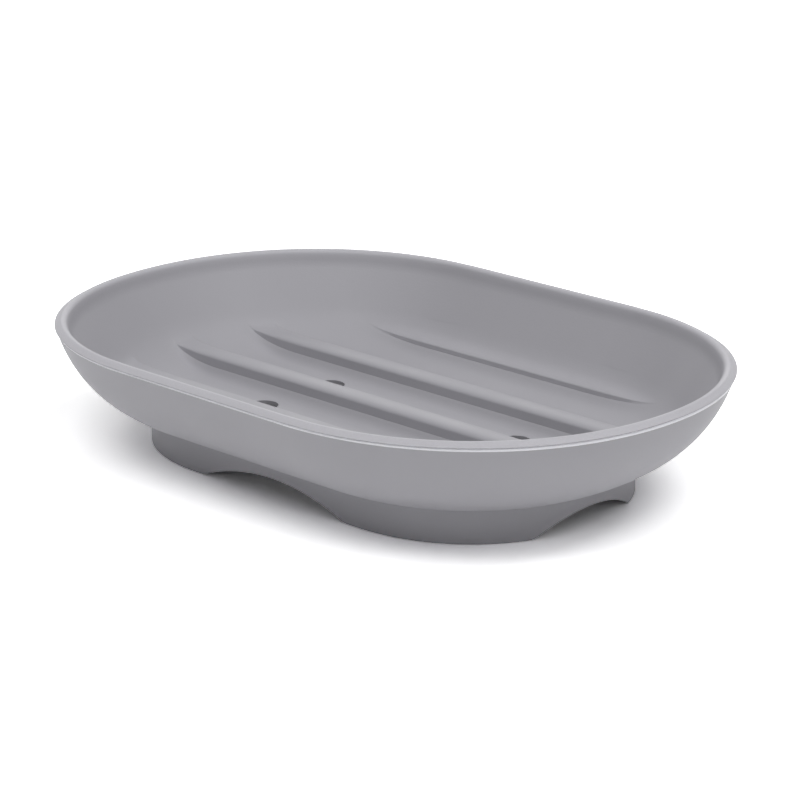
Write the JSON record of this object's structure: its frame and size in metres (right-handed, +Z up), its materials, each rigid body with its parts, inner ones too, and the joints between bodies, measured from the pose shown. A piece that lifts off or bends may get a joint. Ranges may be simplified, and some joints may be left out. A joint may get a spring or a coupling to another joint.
{
  "type": "soap dish",
  "caption": "Oval soap dish: a ridged drip tray with drain holes hangs by its rim in a loose outer shell on an arched foot ring.",
  "frame": {"origin": "on the resting plane, under the middle of the dish", "axes": "+X along the dish, +Y across it, +Z up out of the bowl"},
  "size_m": [0.1406, 0.0982, 0.0253],
  "materials": {
    "base": "matt, soft to the touch",
    "tray": "matt, soft to the touch"
  },
  "bodies": {
    "base": {"base": "base"},
    "tray": {"tray": "tray"}
  },
  "joints": [
    {"name": "tray_lift", "type": "slide", "parent": "base", "child": "tray", "axis": [0, 0, 1], "range_m": [0, 0.05]}
  ]
}
